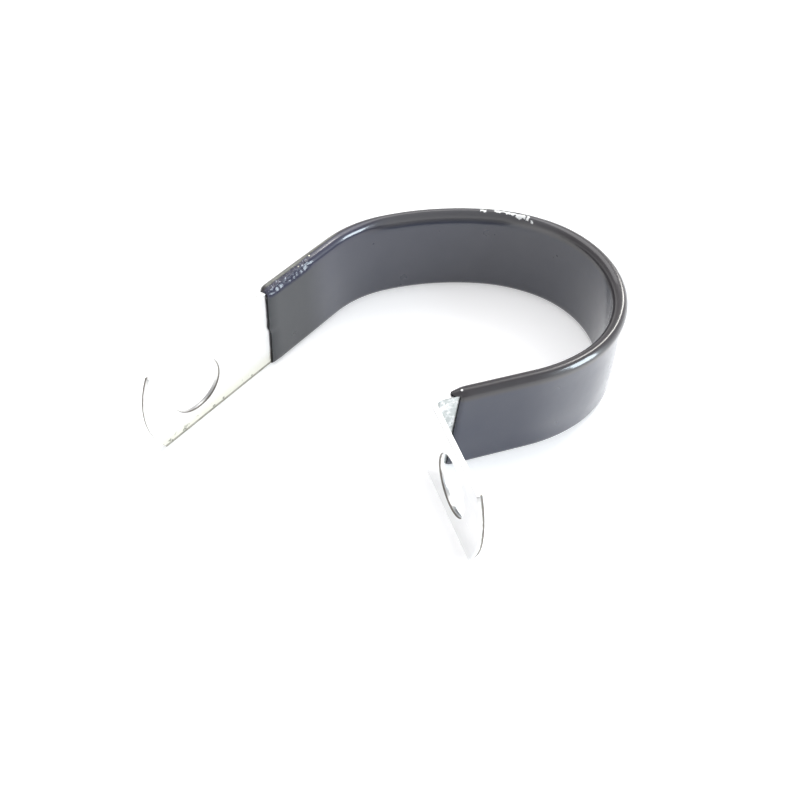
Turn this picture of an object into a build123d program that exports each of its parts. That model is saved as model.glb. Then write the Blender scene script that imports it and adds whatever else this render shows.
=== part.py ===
from build123d import *
from math import radians, sqrt, tan
import os

# P clip: a punched steel strip, rolled into a loop with two bare mounting tabs, and the soft vinyl
# coating that was dipped over the loop. The clip has been sprung open and stands on its edge, so the
# strip's width runs along Z and its route lies flat. The long leg runs along X. The origin is on the
# floor, in the middle of the clip's footprint. Lengths are in millimetres and angles in degrees.

# Steel strip
strip_width = 15.9
strip_thickness = 0.9
tip_radius = 15.9
hole_diameter = 10.0
hole_to_tip = 10.3

# Route of the strip's middle layer, from the long leg's tip to the short tab's tip
long_leg = 43.8
shoulder_radius = 20.4
shoulder_angle = 32.0
sprung_radius = 44.8
sprung_angle = 24.9
quarter_radius = 26.6
quarter_angle = 23.6
bow_radius = 19.5
bow_angle = 113.0
runout_radius = 26.9
runout_angle = 20.5
short_leg = 16.9
fold_inner_radius = 0.8
fold_angle = 91.2
short_tab = 20.5

# Vinyl coating, whose bead is thicker along the upper rim
coat_on_faces = 0.85
coat_on_lower_edge = 0.25
coat_on_upper_edge = 0.85
long_leg_bare = 26.75
short_leg_bare = 2.95

# Trimmed ends of the coating. Each knife cut starts where the bare steel does, on the floor, and leans
# back towards the loop as it rises, through points given as shares of its lean and of the coating's
# height. The long end's cut has a step where the knife was set again. The bead along the upper rim is
# left past the top of each cut as a lip, which stops short of the cut's foot by its own setback.
dipped_past_cut = 1.5
long_end_lean = 0.5
long_end_cut_shares = [(0.0, 0.0), (0.9, 0.44), (0.2, 0.5), (1.0, 0.9)]
long_end_lip_setback = 0.15
short_end_lean = 1.3
short_end_cut_shares = [(0.0, 0.0), (1.0, 0.945)]
short_end_lip_setback = 0.05
lip_height_share = 0.955

# Worked out from the sizes above
coat_height = coat_on_lower_edge + strip_width + coat_on_upper_edge
coat_thickness = strip_thickness + 2 * coat_on_faces
coat_middle = coat_height / 2
strip_middle = coat_on_lower_edge + strip_width / 2
tip_sagitta = tip_radius - sqrt(tip_radius**2 - (strip_width / 2) ** 2)
fold_radius = fold_inner_radius + strip_thickness / 2
fold_setback = fold_radius * tan(radians(fold_angle / 2))
up = Vector(0, 0, 1)

os.makedirs("parts", exist_ok=True)

# Route of the strip: each loop bend turns right, and the fold turns the short tab back out to the left
with BuildLine() as route:
    long_line = Line((0, 0), (long_leg, 0))
    shoulder = JernArc(long_line @ 1, long_line % 1, shoulder_radius, -shoulder_angle)
    sprung = JernArc(shoulder @ 1, shoulder % 1, sprung_radius, -sprung_angle)
    quarter = JernArc(sprung @ 1, sprung % 1, quarter_radius, -quarter_angle)
    bow = JernArc(quarter @ 1, quarter % 1, bow_radius, -bow_angle)
    runout = JernArc(bow @ 1, bow % 1, runout_radius, -runout_angle)
    short_line = PolarLine(runout @ 1, short_leg - fold_setback, direction=runout % 1)
    fold = JernArc(short_line @ 1, short_line % 1, fold_radius, fold_angle)
    tab_line = PolarLine(fold @ 1, short_tab - fold_setback, direction=fold % 1)

# Dipped stretch of the same route, before its ends are trimmed
coat_start = long_leg_bare - dipped_past_cut
coat_end = short_leg - short_leg_bare + dipped_past_cut
with BuildLine() as coated_route:
    Line((coat_start, 0), long_line @ 1)
    add([shoulder, sprung, quarter, bow, runout])
    PolarLine(runout @ 1, coat_end, direction=runout % 1)

# Footprint of the clip, whose middle is the origin
with BuildSketch() as footprint:
    trace(route.line, strip_thickness)
    trace(coated_route.line, coat_thickness)
footprint_middle = footprint.sketch.bounding_box().center()
floor = Plane(origin=(-footprint_middle.X, -footprint_middle.Y, 0))


def leg_plane(point, outwards, height):
    """Plane in the strip's middle layer through a point of the route: x towards the tip, y up."""
    origin = floor.from_local_coords(point) + up * height
    return Plane(origin=origin, x_dir=outwards, z_dir=outwards.cross(up))


def punch_tab(plane):
    """Cut the bolt hole and the gently rounded end of a tab, from the plane at the hole's centre."""
    with BuildSketch(plane) as punch:
        with Locations((hole_to_tip, 0)):
            Rectangle(2 * tip_sagitta, 2 * strip_width)
        with Locations((hole_to_tip - tip_radius, 0)):
            Circle(tip_radius, mode=Mode.SUBTRACT)
        Circle(hole_diameter / 2)
    extrude(punch.sketch, amount=strip_thickness, both=True, mode=Mode.SUBTRACT)


def trim_coat(plane, lean, cut_shares, lip_setback):
    """Cut the coating back to its knife cut and lip, from the plane on the floor at the cut's foot."""
    past = coat_height
    cut_points = [(-back * lean, rise * coat_height) for back, rise in cut_shares]
    lip_point = (-lip_setback, lip_height_share * coat_height)
    above = [(-lip_setback, coat_height + past), (past, coat_height + past)]
    below = [(past, -past), (0, -past)]
    with BuildSketch(plane) as waste:
        with BuildLine():
            Polyline(*cut_points, lip_point, *above, *below, close=True)
        make_face()
    extrude(waste.sketch, amount=coat_thickness, both=True, mode=Mode.SUBTRACT)


# Steel band: strip of even thickness along the whole route, holed and rounded at both ends
with BuildPart() as steel_band:
    with BuildSketch(floor.offset(coat_on_lower_edge)):
        trace(route.line, strip_thickness)
    extrude(amount=strip_width)
    punch_tab(leg_plane(long_line @ 0 + long_line % 0 * hole_to_tip, -(long_line % 0), strip_middle))
    punch_tab(leg_plane(tab_line @ 1 - tab_line % 1 * hole_to_tip, tab_line % 1, strip_middle))

# Vinyl coating: sleeve with fully rounded rims round the loop, closed tightly on the steel
with BuildPart() as vinyl_coating:
    coat_path = coated_route.wire().moved(floor.offset(coat_middle).location)
    with BuildSketch(Plane(origin=coat_path @ 0, x_dir=up, z_dir=coat_path % 0)):
        SlotOverall(coat_height, coat_thickness)
    sweep(path=coat_path)
    trim_coat(leg_plane(long_line @ 0 + long_line % 0 * long_leg_bare, -(long_line % 0), 0),
              long_end_lean, long_end_cut_shares, long_end_lip_setback)
    fold_corner = short_line @ 1 + short_line % 1 * fold_setback
    trim_coat(leg_plane(fold_corner - short_line % 1 * short_leg_bare, short_line % 1, 0),
              short_end_lean, short_end_cut_shares, short_end_lip_setback)
    add(steel_band.part, mode=Mode.SUBTRACT)

steel_band.part.label = "steel_band"
vinyl_coating.part.label = "vinyl_coating"
export_step(steel_band.part, "parts/steel_band.step")
export_step(vinyl_coating.part, "parts/vinyl_coating.step")
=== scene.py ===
import functools
import math

import bmesh
import bpy
from mathutils import Matrix, Vector, noise


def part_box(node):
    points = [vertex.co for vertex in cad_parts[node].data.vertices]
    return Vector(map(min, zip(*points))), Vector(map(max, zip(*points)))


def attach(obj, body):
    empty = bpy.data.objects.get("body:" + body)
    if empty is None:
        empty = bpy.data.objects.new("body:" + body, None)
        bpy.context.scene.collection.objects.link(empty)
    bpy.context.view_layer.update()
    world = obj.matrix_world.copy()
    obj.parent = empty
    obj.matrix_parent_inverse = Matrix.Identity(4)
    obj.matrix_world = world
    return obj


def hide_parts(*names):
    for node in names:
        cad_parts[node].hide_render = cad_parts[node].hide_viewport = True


# A P clip: a zinc-plated steel strip with holed tabs, and glossy black vinyl dipped over its loop.
# Everything is in metres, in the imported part's frame. The long leg runs along X and the floor is z = 0.

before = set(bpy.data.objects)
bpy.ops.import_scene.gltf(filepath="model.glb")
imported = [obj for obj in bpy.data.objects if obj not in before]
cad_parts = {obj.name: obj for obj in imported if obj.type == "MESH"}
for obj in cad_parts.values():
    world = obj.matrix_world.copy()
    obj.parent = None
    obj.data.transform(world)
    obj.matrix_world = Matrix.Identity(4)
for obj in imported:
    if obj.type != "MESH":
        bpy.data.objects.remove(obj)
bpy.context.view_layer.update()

MM = 0.001
UP = Vector((0, 0, 1))
weld_distance = 0.001 * MM
shaded_sharp_over = 40

# Steel strip and its coating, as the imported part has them
band_low, band_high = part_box("steel_band")
coat_low, coat_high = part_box("vinyl_coating")
strip_thickness = 0.9 * MM
coat_on_faces = 0.85 * MM
coat_height = coat_high.z - coat_low.z
coat_thickness = strip_thickness + 2 * coat_on_faces
coat_middle = (coat_low.z + coat_high.z) / 2

# Route of the strip's middle layer: a straight leg, the loop's bends to the right, a straight leg and a
# tab folded back to the left
long_leg = 43.8 * MM
loop_bends = [(20.4 * MM, 32.0), (44.8 * MM, 24.9), (26.6 * MM, 23.6), (19.5 * MM, 113.0), (26.9 * MM, 20.5)]
short_leg = 16.9 * MM
fold_angle = 91.2
short_tab = 20.5 * MM

# Ends of the coating, measured from the long leg's tip and from the short leg's fold. Each knife cut is
# given as (share of the coating's height, how far it stands back), up to the lip that the bead leaves.
long_leg_bare = 26.75 * MM
short_leg_bare = 2.95 * MM
long_end_cut = [(0.0, 0.0), (0.20, 0.25 * MM), (0.44, 0.45 * MM), (0.50, 0.10 * MM), (0.62, 0.30 * MM),
                (0.90, 0.50 * MM), (0.96, 0.50 * MM), (1.0, 0.40 * MM)]
short_end_cut = [(0.0, 0.0), (0.945, 1.30 * MM), (0.965, 1.30 * MM), (0.975, 0.10 * MM), (1.0, 0.05 * MM)]


class Stretch:
    """One straight run or right-hand bend of the route, with where it starts and which way it heads."""

    def __init__(self, start, heading, length, radius=None):
        self.start = start
        self.length = length
        self.radius = radius
        self.ahead = Vector((math.cos(heading), math.sin(heading), 0))
        self.left = Vector((-math.sin(heading), math.cos(heading), 0))
        self.turn = length / radius if radius else 0.0
        self.end_heading = heading - self.turn
        self.end = start + self.ahead * length
        if radius:
            self.centre = start - self.left * radius
            end_left = Vector((-math.sin(self.end_heading), math.cos(self.end_heading), 0))
            self.end = self.centre + end_left * radius

    def locate(self, point):
        """How far along a point lies, how far outside the middle layer, and which way outside is."""
        if not self.radius:
            offset = point - self.start
            return offset.dot(self.ahead), offset.dot(self.left), self.left
        arm = point - self.centre
        arm.z = 0
        along = math.atan2(arm.dot(self.ahead), arm.dot(self.left)) * self.radius
        return along, arm.length - self.radius, arm.normalized()


def lay_route():
    """The route's stretches, from the long leg's tip to the short tab's tip."""
    tip = Vector((band_low.x, band_high.y - strip_thickness / 2, 0))
    stretches = [Stretch(tip, 0.0, long_leg)]
    for radius, angle in loop_bends:
        last = stretches[-1]
        stretches.append(Stretch(last.end, last.end_heading, radius * math.radians(angle), radius))
    last = stretches[-1]
    stretches.append(Stretch(last.end, last.end_heading, short_leg))
    last = stretches[-1]
    stretches.append(Stretch(last.end, last.end_heading + math.radians(fold_angle), short_tab))
    return stretches


route = lay_route()
long_straight = route[0]
loop = route[1:-2]
short_straight = route[-2]
loop_length = sum(bend.length for bend in loop)
long_end = long_leg_bare - long_leg
short_end = loop_length + short_leg - short_leg_bare


def unroll(point):
    """A point's place on the strip laid flat, as distance from the loop's start, outward offset and
    height, and the outward direction there."""
    gone = -long_leg
    best = None
    for stretch in route:
        along, outward, direction = stretch.locate(point)
        beyond = max(0.0, along - stretch.length, -along)
        if best is None or abs(outward) + beyond < best[0]:
            best = (abs(outward) + beyond, Vector((gone + along, outward, point.z)), direction)
        gone += stretch.length
    return best[1], best[2]


def clamp(value, low, high):
    return min(high, max(low, value))


def smooth_step(value):
    """0 below 0 and 1 above 1, with a smooth rise between."""
    value = clamp(value, 0.0, 1.0)
    return value * value * (3 - 2 * value)


def ease(value, span):
    """0 before a span and 1 past it, with a smooth change between. A span that runs down falls."""
    return smooth_step((value - span[0]) / (span[1] - span[0]))


def between(value, points):
    """Value on a line through (input, output) points."""
    if value <= points[0][0]:
        return points[0][1]
    for (low, a), (high, b) in zip(points, points[1:]):
        if value <= high:
            return a + (b - a) * (value - low) / (high - low)
    return points[-1][1]


def as_piece(name, bm, *materials):
    """A finished mesh as an object at the origin that rides on the clip."""
    mesh = bpy.data.meshes.new(name)
    bm.to_mesh(mesh)
    bm.free()
    for material in materials:
        mesh.materials.append(material)
    mesh.shade_smooth()
    mesh.set_sharp_from_angle(angle=math.radians(shaded_sharp_over))
    piece = bpy.data.objects.new(name, mesh)
    bpy.context.scene.collection.objects.link(piece)
    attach(piece, "root")
    return piece


def store_unrolled(mesh):
    """Keep each vertex's unrolled place, in millimetres, for the materials."""
    layer = mesh.attributes.new("unrolled", "FLOAT_VECTOR", "POINT")
    for vertex, value in zip(mesh.vertices, layer.data):
        value.vector = unroll(vertex.co)[0] / MM


# Materials

class Finish:
    """A node material with its Principled shader, and short ways to add linked nodes to it."""

    def __init__(self, name):
        self.material = bpy.data.materials.new(name)
        self.material.use_nodes = True
        self.tree = self.material.node_tree
        self.shader = self.tree.nodes["Principled BSDF"]

    def add(self, kind, inputs=None, **settings):
        """A node with its settings, and its inputs set or linked."""
        node = self.tree.nodes.new(kind)
        for key, value in settings.items():
            setattr(node, key, value)
        for key, value in (inputs or {}).items():
            if isinstance(value, bpy.types.NodeSocket):
                self.tree.links.new(value, node.inputs[key])
            else:
                node.inputs[key].default_value = value
        return node

    def feed(self, **sockets):
        """Link or set the shader's own inputs, named with underscores for spaces."""
        for key, value in sockets.items():
            socket = self.shader.inputs[key.replace("_", " ")]
            if isinstance(value, bpy.types.NodeSocket):
                self.tree.links.new(value, socket)
            else:
                socket.default_value = value

    def laid_flat(self):
        """The strip's own unrolled millimetres."""
        return self.add("ShaderNodeAttribute", attribute_name="unrolled").outputs["Vector"]

    def along_outward_height(self):
        """The three unrolled millimetre coordinates by themselves."""
        return self.add("ShaderNodeSeparateXYZ", {0: self.laid_flat()}).outputs[:3]

    def noise(self, scale, detail=3.0, stretch=(1.0, 1.0, 1.0), roughness=0.5):
        """Noise that follows the strip, with features about 1 / scale millimetres across."""
        spread = self.add("ShaderNodeMapping", {"Vector": self.laid_flat(), "Scale": stretch})
        return self.add("ShaderNodeTexNoise", {"Vector": spread.outputs["Vector"], "Scale": scale,
                                               "Detail": detail, "Roughness": roughness}).outputs["Fac"]

    def math(self, operation, a, b=0.0, clamp=False):
        return self.add("ShaderNodeMath", {0: a, 1: b}, operation=operation, use_clamp=clamp).outputs[0]

    def rise(self, value, low, high):
        """0 below low and 1 above high, with a smooth rise between, or a fall where low is the higher."""
        node = self.add("ShaderNodeMapRange", {"Value": value, "From Min": low, "From Max": high},
                        interpolation_type="SMOOTHSTEP")
        return node.outputs["Result"]

    def window(self, value, low, high, edge):
        """1 between low and high, with soft edges."""
        return self.math("MULTIPLY", self.rise(value, low - edge, low), self.rise(value, high + edge, high))

    def all_of(self, *masks):
        """The product of several masks."""
        return functools.reduce(lambda a, b: self.math("MULTIPLY", a, b), masks)

    def any_of(self, *masks):
        """The highest of several masks."""
        return functools.reduce(lambda a, b: self.math("MAXIMUM", a, b), masks)

    def spot(self, middle, radius, edge):
        """1 within a radius of an unrolled place, with a soft edge."""
        offset = self.add("ShaderNodeVectorMath", {0: self.laid_flat(), 1: middle}, operation="DISTANCE")
        return self.rise(offset.outputs["Value"], radius + edge, radius)

    def ramp(self, value, *stops):
        """Colours along a value, as (position, colour) stops."""
        node = self.add("ShaderNodeValToRGB", {"Fac": value})
        elements = node.color_ramp.elements
        while len(elements) < len(stops):
            elements.new(0.5)
        for element, (position, colour) in zip(elements, stops):
            element.position = position
            element.color = (*colour, 1.0)
        return node.outputs["Color"]

    def scale_range(self, value, low, high):
        """A 0 to 1 value spread from low to high."""
        return self.add("ShaderNodeMapRange", {"Value": value, "To Min": low, "To Max": high}).outputs["Result"]

    def mix(self, mask, a, b):
        """Colour a where the mask is 0, and b where it is 1."""
        node = self.add("ShaderNodeMix", data_type="RGBA")
        for index, value in ((0, mask), (6, a), (7, b)):
            if isinstance(value, bpy.types.NodeSocket):
                self.tree.links.new(value, node.inputs[index])
            else:
                node.inputs[index].default_value = (*value, 1.0)
        return node.outputs[2]

    def bumps(self, *layers):
        """Bump from several (height, distance in metres, strength) layers, one over the other."""
        normal = None
        for height, distance, strength in layers:
            inputs = {"Height": height, "Distance": distance, "Strength": strength}
            if normal is not None:
                inputs["Normal"] = normal
            normal = self.add("ShaderNodeBump", inputs).outputs["Normal"]
        return normal


# Where the vinyl is worn or painted with highlights, in unrolled millimetres: the torn stretch of its rim and
# the ridge along it, the crest beside it painted paler as its highlight line, the white chips in the crest as
# (start, end, inner edge, outer edge), and the painted glints on the rim and on the short end's lip as (place,
# radius)
torn_rim = (-17.2, -7.0)
torn_heights = (15.9, 16.4)
torn_ridge = (-0.65, 0.0)
crest_highlight_stretch = (-15.0, 1.0)
crest_highlight_heights = (16.2, 16.7)
crest_chips = [(29.3, 30.4, -0.30, 0.10), (31.8, 34.0, -0.20, 0.20), (34.0, 36.0, -0.30, 0.10),
               (36.0, 37.5, -0.55, 0.05), (37.85, 38.3, -0.75, 0.05), (38.9, 39.2, -0.95, -0.60)]
chip_heights = (16.2, 16.4)
ragged_along = 0.6
ragged_across = 0.35
rim_glints = [((-8.45, -0.40, 16.85), 0.24), ((-5.5, -0.15, 16.95), 0.12)]
end_glint = ((102.2, 0.05, 16.95), 0.15)
glint_edge = 0.08

# Where the loop's gloss fades into the duller coating of the two straight legs, where the bead sets in,
# where it turns from a bluish to a brownish black, and where a painted reflection lightens its inner side
long_leg_fade = (-1.0, -9.0)
short_leg_fade = (85.0, 94.0)
bead_heights = (14.8, 15.8)
bluish_bead = (14.0, 4.0)
bead_reflection_stretch = (13.0, 42.0)
inner_side = (0.20, -0.10)
outer_side = (-0.05, 0.25)


def make_vinyl():
    """Glossy dipped vinyl: near black, with a torn rim and white chips, and painted highlights: a pale crest
    line, a lighter inner bead, bluish sparkles and pale glints.
    """
    vinyl = Finish("black_dipped_vinyl")
    along, outward, height = vinyl.along_outward_height()
    cloud = vinyl.noise(0.12, detail=4.0)
    black = vinyl.ramp(cloud, (0.30, (0.029, 0.033, 0.056)), (0.70, (0.038, 0.042, 0.064)))
    black = vinyl.mix(vinyl.rise(along, *long_leg_fade), black, (0.034, 0.037, 0.043))
    inside = vinyl.rise(outward, *inner_side)
    # Painted reflection: the bead's inner side along the back is lightened to a lilac grey
    bead = vinyl.mix(vinyl.all_of(inside, vinyl.window(along, *bead_reflection_stretch, 6.0)),
                     (0.046, 0.041, 0.044), (0.076, 0.073, 0.078))
    bead = vinyl.mix(vinyl.all_of(inside, vinyl.rise(along, *bluish_bead)), bead, (0.032, 0.032, 0.060))
    black = vinyl.mix(vinyl.rise(height, *bead_heights), black, bead)

    torn = vinyl.all_of(vinyl.window(along, *torn_rim, 0.8), vinyl.rise(height, *torn_heights))
    # Painted glints: bluish-white sparkles in the colour of the torn ridge
    clusters = vinyl.rise(vinyl.noise(0.45, detail=1.0), 0.40, 0.50)
    sparkle_dots = vinyl.rise(vinyl.noise(2.1, detail=3.0, roughness=0.6), 0.58, 0.66)
    ridge = vinyl.all_of(torn, vinyl.window(outward, *torn_ridge, 0.20))
    sparkle = vinyl.all_of(ridge, clusters, sparkle_dots)
    # Painted highlight: a paler olive line along the crest beside the torn rim, which is also made duller
    crest_highlight = vinyl.all_of(vinyl.window(along, *crest_highlight_stretch, 1.6), vinyl.rise(height, *crest_highlight_heights),
                          vinyl.rise(outward, *outer_side), vinyl.scale_range(vinyl.noise(1.2), 0.4, 1.0))
    highlighted = vinyl.mix(crest_highlight, black, (0.22, 0.22, 0.19))
    highlighted = vinyl.mix(sparkle, highlighted, (0.42, 0.44, 0.52))

    shift_along = vinyl.scale_range(vinyl.noise(1.3, detail=5.0, roughness=0.7), -ragged_along, ragged_along)
    shift_across = vinyl.scale_range(vinyl.noise(1.9, detail=4.0), -ragged_across, ragged_across)
    chip_along = vinyl.math("ADD", along, shift_along)
    chip_outward = vinyl.math("ADD", outward, shift_across)
    chips = vinyl.any_of(*(vinyl.all_of(vinyl.window(chip_along, start, end, 0.10),
                                        vinyl.window(chip_outward, inner, outer, 0.08))
                           for start, end, inner, outer in crest_chips))
    chips = vinyl.all_of(chips, vinyl.rise(height, *chip_heights))
    # Painted highlights: pale glints on the rim and a white glint on the short end's lip, beside the real white
    # chips
    glints = vinyl.any_of(*(vinyl.spot(*glint, glint_edge) for glint in rim_glints))
    pale = vinyl.any_of(chips, vinyl.spot(*end_glint, glint_edge))
    coloured = vinyl.mix(glints, vinyl.mix(pale, highlighted, (0.90, 0.90, 0.88)), (0.95, 0.92, 0.72))
    vinyl.feed(Base_Color=coloured)

    gloss = vinyl.scale_range(vinyl.noise(0.35, detail=5.0), 0.22, 0.40)
    dull = vinyl.math("MULTIPLY", vinyl.any_of(pale, glints, crest_highlight), 0.6)
    faded = vinyl.any_of(vinyl.rise(along, *long_leg_fade), vinyl.rise(along, *short_leg_fade))
    vinyl.feed(Roughness=vinyl.math("MAXIMUM", gloss, dull), Coat_Roughness=0.10,
               Coat_Weight=vinyl.scale_range(faded, 1.0, 0.35))

    flow = vinyl.noise(0.22, detail=2.0, stretch=(1.0, 1.0, 0.5))
    peel = vinyl.noise(2.2)
    tears = vinyl.all_of(vinyl.noise(1.8, detail=4.0, roughness=0.6), ridge)
    normal = vinyl.bumps((flow, 0.10 * MM, 0.4), (peel, 0.010 * MM, 0.4), (tears, 0.20 * MM, 0.8),
                         (pale, 0.05 * MM, 0.8))
    vinyl.feed(Normal=normal, Coat_Normal=normal)
    return vinyl.material


def make_cut_vinyl():
    """The matt, torn face that the knife left."""
    cut = Finish("knife_cut_vinyl")
    grain = cut.noise(3.0, detail=4.0, roughness=0.6)
    cut.feed(Base_Color=cut.ramp(grain, (0.30, (0.012, 0.012, 0.014)), (0.70, (0.024, 0.024, 0.028))))
    cut.feed(Roughness=0.75, Specular_IOR_Level=0.25, Normal=cut.bumps((grain, 0.05 * MM, 0.6)))
    return cut.material


# Where the strip is marked or painted with shade, in unrolled millimetres: dull mottling by the fold, the long
# tab's foot with its yellower tint, dark specks and painted contact shadow, the rounded tips of both tabs, and
# the dark bands of the sheared edges
mottled_stretch = (100.0, 106.6)
bare_leg_end = long_end / MM
yellow_tint_heights = (4.5, 0.8)
specked_foot = (2.3, 0.9)
contact_shade_heights = (0.95, 0.70)
long_tip = (2.6 - long_leg / MM, 2.2 - long_leg / MM)
tab_end = (loop_length + short_leg + short_tab) / MM
short_tip = (tab_end - 2.6, tab_end - 2.2)
hole_heights = (2.0, 15.0)
tip_shade_span = (0.02, 0.18)
hole_band_span = (-0.06, -0.20)


def make_zinc():
    """Bright zinc plate with rolled lines, dull mottling by the fold, and a foot that is yellower towards the
    bottom, with dark specks and a painted contact shadow along its lower edge.
    """
    zinc = Finish("bright_zinc_plate")
    along, _, height = zinc.along_outward_height()
    patch = zinc.noise(0.30, detail=6.0, roughness=0.6)
    bright = zinc.ramp(patch, (0.30, (0.82, 0.825, 0.83)), (0.70, (0.88, 0.88, 0.875)))
    long_tab = zinc.rise(along, bare_leg_end + 1.0, bare_leg_end)
    # The long tab turns yellower and darker towards the bottom
    foot = zinc.all_of(long_tab, zinc.rise(height, *yellow_tint_heights))
    tinted = zinc.mix(zinc.math("MULTIPLY", foot, 0.6), bright, (0.76, 0.75, 0.62))
    cloudy = zinc.rise(zinc.noise(0.8, detail=6.0, roughness=0.7), 0.36, 0.58)
    specked = zinc.rise(zinc.noise(2.2, detail=3.0), 0.56, 0.66)
    mottle = zinc.any_of(zinc.math("MULTIPLY", cloudy, 0.75), specked)
    stain = zinc.all_of(zinc.window(along, *mottled_stretch, 0.4), mottle)
    stained = zinc.mix(stain, tinted, (0.40, 0.44, 0.43))
    # Dark specks, and a painted contact shadow as a dark line along the long tab's lower edge
    clumps = zinc.rise(zinc.noise(1.1, detail=3.0), 0.58, 0.66)
    specks = zinc.all_of(clumps, zinc.rise(height, *specked_foot))
    contact_shade_line = zinc.all_of(zinc.rise(height, *contact_shade_heights), zinc.scale_range(zinc.noise(0.6), 0.6, 1.2))
    specks_and_shade = zinc.all_of(zinc.any_of(specks, contact_shade_line), long_tab)
    zinc.feed(Base_Color=zinc.mix(specks_and_shade, stained, (0.27, 0.27, 0.23)))
    rolled = zinc.noise(3.0, detail=4.0, stretch=(0.06, 1.0, 1.0))
    sheen = zinc.scale_range(rolled, 0.22, 0.42)
    zinc.feed(Metallic=1.0, Roughness=zinc.math("MAXIMUM", sheen, zinc.math("MULTIPLY", stain, 0.5)))
    dimple = zinc.noise(0.8)
    zinc.feed(Normal=zinc.bumps((dimple, 0.04 * MM, 0.35), (rolled, 0.008 * MM, 0.5)))
    return zinc.material


def make_sheared_edge():
    """Sheared steel: bright along the strip, with painted shade along the outer edge of each tip and a dark
    band round the holes.
    """
    edge = Finish("sheared_steel_edge")
    along, outward, height = edge.along_outward_height()
    across = edge.math("ADD", outward, edge.scale_range(edge.noise(0.8, detail=4.0), -0.12, 0.12))
    tips = edge.any_of(edge.rise(along, *long_tip), edge.rise(along, *short_tip))
    # Painted shade: a dark line along the outer edge of each tab's tip
    tip_shade = edge.all_of(tips, edge.rise(across, *tip_shade_span))
    # A dark band round the near rim of each hole
    in_hole = edge.math("SUBTRACT", edge.window(height, *hole_heights, 0.5), tips, clamp=True)
    torn = edge.all_of(in_hole, edge.rise(across, *hole_band_span))
    dark = edge.any_of(tip_shade, torn)
    edge.feed(Base_Color=edge.mix(dark, (0.86, 0.86, 0.84), (0.24, 0.22, 0.20)))
    edge.feed(Metallic=1.0, Roughness=edge.scale_range(dark, 0.32, 0.55))
    grain = edge.noise(3.5, detail=5.0, stretch=(1.0, 0.3, 1.0))
    edge.feed(Normal=edge.bumps((grain, 0.05 * MM, 0.6)))
    return edge.material


# Vinyl coating: how finely it is divided, how the inner ring stands to the outer one while the sleeve is
# drawn, and how far the straight part of its section reaches from the middle
rim_segments = 50
side_cuts = 35
straight_step = 0.25 * MM
bend_step = 0.6 * MM
inner_scale = 0.6
inner_lag = 0.02 * MM
core_reach = (coat_height - coat_thickness) / 2


def on_strip(outward, height):
    """The nearest point of the strip's own section to one of the coating's section."""
    return clamp(outward, -strip_thickness / 2, strip_thickness / 2), clamp(height, band_low.z, band_high.z)


def core_height(height):
    """Height of the nearest point of the line that the coating's stadium section is drawn round."""
    return clamp(height, coat_middle - core_reach, coat_middle + core_reach)


def sleeve_rings(bm):
    """The sleeve's section where the long leg's coating starts: a stadium, and a smaller one inside it. The
    inner one lags a little, so that the rings are bridged the same way round."""
    inner_wall = bm.verts.layers.int.new("inner_wall")
    start = Vector((long_straight.start.x + long_leg_bare, long_straight.start.y, coat_middle))
    upright = Matrix.Translation(start) @ Matrix.Rotation(math.radians(90), 4, "Y")
    crest_up = Matrix.Rotation(math.pi / rim_segments, 4, "Z")
    bmesh.ops.create_circle(bm, cap_ends=False, radius=coat_thickness / 2, segments=rim_segments,
                            matrix=upright @ crest_up)
    for vert in bm.verts:
        vert.co.z += core_reach if vert.co.z > coat_middle else -core_reach
    sides = [edge for edge in bm.edges if edge.calc_length() > core_reach]
    bmesh.ops.subdivide_edges(bm, edges=sides, cuts=side_cuts)
    inner = bmesh.ops.duplicate(bm, geom=bm.verts[:] + bm.edges[:])["geom"]
    for vert in inner:
        if isinstance(vert, bmesh.types.BMVert):
            vert[inner_wall] = 1
            core = Vector((start.x, start.y, core_height(vert.co.z)))
            vert.co = core + (vert.co - core) * inner_scale + long_straight.ahead * inner_lag
    return bm.edges[:]


def draw_straight(bm, rings, direction, length):
    """Draw the rings on along a straight run."""
    steps = round(length / straight_step)
    for _ in range(steps):
        grown = bmesh.ops.extrude_edge_only(bm, edges=rings)["geom"]
        verts = {item for item in grown if isinstance(item, bmesh.types.BMVert)}
        bmesh.ops.translate(bm, verts=list(verts), vec=direction * (length / steps))
        rings = [item for item in grown
                 if isinstance(item, bmesh.types.BMEdge) and verts.issuperset(item.verts)]
    return rings


def draw_bend(bm, rings, bend):
    """Draw the rings on round a bend."""
    verts = {vert for edge in rings for vert in edge.verts}
    made = bmesh.ops.spin(bm, geom=rings + list(verts), cent=bend.centre, axis=UP, angle=-bend.turn,
                          steps=round(bend.length / bend_step), use_merge=False, use_duplicate=False)
    return [item for item in made["geom_last"] if isinstance(item, bmesh.types.BMEdge)]


# How the cut ends and the rim are finished. Shares are of the coating's own thickness, and a lip's foot and
# rise are shares of its height. Spans that fade a form in or out are in unrolled millimetres.
long_finish = {"cut": long_end_cut, "cut_depth": 2.0 * MM, "cut_share": 0.42, "lip_foot": 0.94,
               "nose_depth": 0.9 * MM, "nose_share": 0.10, "nose_curve": 0.45, "pointed": 0.0}
short_finish = {"cut": short_end_cut, "cut_depth": 0.9 * MM, "cut_share": 0.45, "lip_foot": 0.962,
                "nose_depth": 1.8 * MM, "nose_share": 0.45, "nose_curve": 0.7, "pointed": 0.8}
lip_rise = 0.015
blunt_tip = 0.2 * MM
jag_depth = 0.07 * MM
jag_scale = 1.3
worn_heights = (15.4, 16.2)
worn_side = (0.45, 0.05)
torn_start = (torn_rim[0], torn_rim[0] + 0.6)
torn_end = (torn_rim[1] + 1.5, torn_rim[1] - 1.5)
torn_thinning = 0.30
torn_depth = 0.16
lump_scale = 1.7
lump_start = 3.1
small_lump_scale = 3.7
small_lump_share = 0.6
chip_fade = 0.2
chip_depth = 0.20
nick_scale = 1.3
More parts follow.
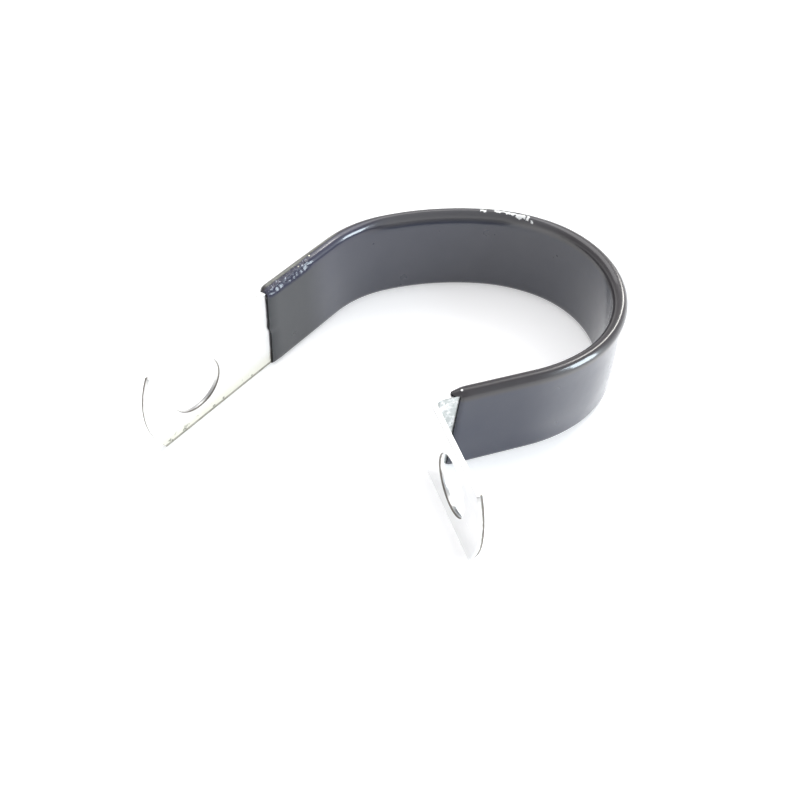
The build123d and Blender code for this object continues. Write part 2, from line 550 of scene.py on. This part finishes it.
nick_row = 7.7
early_roll = 14.5
early_roll_curve = 1.4
early_roll_start = (5.0, 14.0)
early_roll_end = (48.0, 34.0)
outer_thinning = 0.28
thinner_leg = (58.0, 74.0)
thinner_heights = (5.0, 14.0)
thinner_face = (0.0, 1.1)


def rounded(value):
    """A quarter circle from 0 at 0 to 1 at 1."""
    value = clamp(value, 0.0, 1.0)
    return math.sqrt(value * (2 - value))


def in_lip(height, finish):
    """1 in the lip that the bead leaves past a cut, and 0 below it."""
    return smooth_step((height / coat_height - finish["lip_foot"]) / lip_rise)


def end_setback(outer, finish):
    """How far an end stands back at a point of the outer section: its slightly jagged cut and its lip."""
    lip = in_lip(outer.z, finish)
    jag = noise.noise(Vector((0, 0, outer.z / MM * jag_scale))) * jag_depth
    point = finish["pointed"] * max(0.0, abs(outer.y + blunt_tip) - blunt_tip)
    return between(outer.z / coat_height, finish["cut"]) + jag * (1 - lip) + point * lip


def end_share(distance, height, finish):
    """How much of its thickness the coating keeps near a cut end, and in the nose of its lip."""
    cut = finish["cut_share"] + (1 - finish["cut_share"]) * rounded(distance / finish["cut_depth"])
    inwards = clamp(distance / finish["nose_depth"], 0.0, 1.0) ** finish["nose_curve"]
    nose = finish["nose_share"] + (1 - finish["nose_share"]) * inwards
    return cut + (nose - cut) * in_lip(height, finish)


def rim_share(place):
    """How much of its thickness the rim keeps where it is torn or chipped."""
    along, outward, height = place / MM
    rim = ease(height, worn_heights) * ease(outward, worn_side)
    torn = ease(along, torn_start) * ease(along, torn_end)
    lump = noise.noise(Vector((along * lump_scale + lump_start, outward, height)))
    small_lump = noise.noise(Vector((along * small_lump_scale, outward * 3, height * 3)))
    lump += small_lump_share * small_lump
    chipped = max(ease(along, (start, start + chip_fade)) * ease(along, (end, end - chip_fade))
                  for start, end, *_ in crest_chips)
    nick = max(0.0, noise.noise(Vector((along * nick_scale, nick_row, height))))
    torn_away = torn * (torn_thinning + torn_depth * smooth_step(0.5 + lump))
    return 1 - rim * (torn_away + chipped * chip_depth * nick)


def leg_share(place):
    """How much of its thickness the coating keeps outside the short leg, where it thins upwards."""
    along, outward, height = place / MM
    thinned = ease(along, thinner_leg) * ease(height, thinner_heights) * ease(outward, thinner_face)
    return 1 - outer_thinning * thinned


def early_rolled(outer, along):
    """The part of its outward offset that the bead keeps where its inner side rolls over sooner."""
    if outer.y >= 0 or outer.z <= early_roll * MM:
        return 1.0
    rise = clamp((outer.z - early_roll * MM) / (coat_high.z - early_roll * MM), 0.0, 0.999)
    arc = clamp((outer.z - coat_middle - core_reach) / (coat_thickness / 2), 0.0, 0.999)
    kept = math.sqrt((1 - rise ** early_roll_curve) / (1 - arc ** 2))
    return 1 - (1 - kept) * ease(along / MM, early_roll_start) * ease(along / MM, early_roll_end)


def finish_coating(bm):
    """Fit the inner wall to the strip, slide the ends to their knife cuts and lips, and thin the coating
    there and along the rim."""
    inner_wall = bm.verts.layers.int["inner_wall"]
    for vert in bm.verts:
        place, out = unroll(vert.co)
        outer = place.copy()
        if vert[inner_wall]:
            core = core_height(place.z)
            outer.y, outer.z = place.y / inner_scale, core + (place.z - core) / inner_scale
        share = 0.0 if vert[inner_wall] else rim_share(place) * leg_share(place)
        bulge = outer.y * early_rolled(outer, place.x)
        if place.x < 0:
            run = place.x - long_end
            vert.co += long_straight.ahead * end_setback(outer, long_finish) * (1 + run / long_end)
            share *= end_share(run, place.z, long_finish)
        elif place.x > loop_length:
            run = short_end - place.x
            vert.co -= (short_straight.ahead * end_setback(outer, short_finish)
                        * (1 - run / (short_end - loop_length)))
            share *= end_share(run, place.z, short_finish)
        strip_outward, strip_height = on_strip(outer.y, outer.z)
        vert.co += out * (strip_outward - place.y + (bulge - strip_outward) * share)
        vert.co += UP * (strip_height - place.z + (outer.z - strip_height) * share)


def make_coating(skin_material, cut_material):
    """The dipped sleeve as one closed skin, drawn along the loop and bridged at its cut ends."""
    bm = bmesh.new()
    rings = sleeve_rings(bm)
    first = rings
    rings = draw_straight(bm, rings, long_straight.ahead, -long_end)
    for bend in loop:
        rings = draw_bend(bm, rings, bend)
    rings = draw_straight(bm, rings, short_straight.ahead, short_end - loop_length)
    for end in (first, rings):
        for face in bmesh.ops.bridge_loops(bm, edges=end)["faces"]:
            face.material_index = 1
    finish_coating(bm)
    bmesh.ops.remove_doubles(bm, verts=bm.verts[:], dist=weld_distance)
    bmesh.ops.recalc_face_normals(bm, faces=bm.faces[:])
    coating = as_piece("coating_skin", bm, skin_material, cut_material)
    store_unrolled(coating.data)
    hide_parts("vinyl_coating")


# Steel band, whose faces are plated and whose edges are sheared
edge_round = 0.10 * MM
edge_sharp_over = 50
flat_within = 0.5
faces_outwards = 0.7


def make_band(face_material, edge_material):
    """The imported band's own mesh, merged, with its sheared edges eased."""
    bm = bmesh.new()
    bm.from_mesh(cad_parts["steel_band"].data)
    bmesh.ops.remove_doubles(bm, verts=bm.verts[:], dist=weld_distance)
    bmesh.ops.dissolve_limit(bm, angle_limit=math.radians(flat_within), verts=bm.verts[:], edges=bm.edges[:])
    for face in bm.faces:
        _, out = unroll(face.calc_center_median())
        face.material_index = 0 if abs(face.normal.dot(out)) > faces_outwards else 1
    sharp = [edge for edge in bm.edges
             if edge.is_manifold and edge.calc_face_angle() > math.radians(edge_sharp_over)]
    bmesh.ops.bevel(bm, geom=sharp, offset=edge_round, segments=2, profile=0.5, affect="EDGES", material=-1)
    band = as_piece("band_plate", bm, face_material, edge_material)
    store_unrolled(band.data)
    settle = band.modifiers.new("flat_faces", "WEIGHTED_NORMAL")
    settle.keep_sharp = True
    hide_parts("steel_band")


# Stage, lights and camera. Bearings are clockwise from straight ahead of the camera, seen from above.

camera_azimuth = -53.457
camera_elevation = 48.42
camera_distance = 155.6 * MM
camera_roll = 1.95
camera_lens = 40.8
aim = Vector((-2.656 * MM, 2.516 * MM, 0))
lamp_distance = 0.6
floor_radius = 3.0
floor_shade = 0.78
floor_glow = 0.46


def from_camera(bearing, elevation):
    """Unit direction from the object, for a bearing clockwise from straight ahead of the camera."""
    turn = math.radians(camera_azimuth - bearing)
    rise = math.radians(elevation)
    return Vector((-math.sin(turn) * math.cos(rise), math.cos(turn) * math.cos(rise), math.sin(rise)))


def add_lamp(name, bearing, elevation, wide, tall, radiance, colour, use=("lights", "mirrors")):
    """A soft area lamp that faces the object, as wide and tall as it looks from there in degrees, and as
    bright as a white surface of that radiance. It lights the surfaces, mirrors in them, or does both."""
    light = bpy.data.lights.new(name, "AREA")
    light.shape = "RECTANGLE"
    light.size = 2 * lamp_distance * math.tan(math.radians(wide / 2))
    light.size_y = 2 * lamp_distance * math.tan(math.radians(tall / 2))
    light.energy = radiance * math.pi * light.size * light.size_y
    light.color = colour
    lamp = bpy.data.objects.new(name, light)
    bpy.context.scene.collection.objects.link(lamp)
    direction = from_camera(bearing, elevation)
    lamp.location = direction * lamp_distance
    lamp.rotation_euler = direction.to_track_quat("Z", "Y").to_euler()
    lamp.visible_camera = False
    lamp.visible_glossy = "mirrors" in use
    lamp.visible_diffuse = "lights" in use


def add_floor():
    """A pale floor that keeps the object's shadow and looks white to the camera and in reflections."""
    bm = bmesh.new()
    bmesh.ops.create_circle(bm, cap_ends=True, radius=floor_radius, segments=96)
    mesh = bpy.data.meshes.new("floor")
    bm.to_mesh(mesh)
    bm.free()
    pale = Finish("white_floor")
    pale.feed(Base_Color=(floor_shade, floor_shade, floor_shade, 1.0), Roughness=1.0, Specular_IOR_Level=0.0)
    rays = pale.add("ShaderNodeLightPath").outputs
    seen = pale.math("ADD", rays["Is Camera Ray"], rays["Is Glossy Ray"], clamp=True)
    seen = pale.math("ADD", seen, rays["Is Transmission Ray"], clamp=True)
    glow = pale.math("MULTIPLY", seen, floor_glow)
    pale.feed(Emission_Color=(1.0, 1.0, 1.0, 1.0), Emission_Strength=glow)
    mesh.materials.append(pale.material)
    floor = bpy.data.objects.new("floor", mesh)
    bpy.context.scene.collection.objects.link(floor)


def set_world():
    """A room that is white at the horizon and greys off upwards."""
    world = bpy.data.worlds.new("studio")
    bpy.context.scene.world = world
    world.use_nodes = True
    tree = world.node_tree
    place = tree.nodes.new("ShaderNodeTexCoord")
    split = tree.nodes.new("ShaderNodeSeparateXYZ")
    room = tree.nodes.new("ShaderNodeValToRGB")
    tree.links.new(place.outputs["Generated"], split.inputs[0])
    tree.links.new(split.outputs["Z"], room.inputs["Fac"])
    tree.links.new(room.outputs["Color"], tree.nodes["Background"].inputs["Color"])
    low, high = room.color_ramp.elements
    low.position, low.color = 0.05, (1.0, 1.0, 1.0, 1.0)
    high.position, high.color = 0.40, (0.42, 0.42, 0.44, 1.0)


def add_camera():
    """The photograph's view: above and in front, with a slight roll."""
    data = bpy.data.cameras.new("camera")
    data.lens = camera_lens
    data.clip_start = 0.01
    data.clip_end = 20.0
    camera = bpy.data.objects.new("camera", data)
    bpy.context.scene.collection.objects.link(camera)
    back = from_camera(180, camera_elevation)
    camera.location = aim + back * camera_distance
    level = (-back).to_track_quat("-Z", "Y").to_matrix().to_4x4()
    camera.rotation_euler = (level @ Matrix.Rotation(math.radians(camera_roll), 4, "Z")).to_euler()
    bpy.context.scene.camera = camera


make_coating(make_vinyl(), make_cut_vinyl())
make_band(make_zinc(), make_sheared_edge())
add_floor()
set_world()
add_lamp("overhead", 0, 85, 12, 12, 12.0, (1.0, 1.0, 1.0), use=("lights",))
add_lamp("ceiling", 5, 62, 60, 36, 1.6, (1.0, 1.0, 1.0))
add_lamp("far_window", 39, 40, 12, 32, 10.0, (1.0, 0.98, 0.93))
add_lamp("side_window", 107, 20, 18, 28, 14.0, (0.80, 0.92, 1.0))
add_camera()
bpy.context.scene.view_settings.view_transform = "Standard"
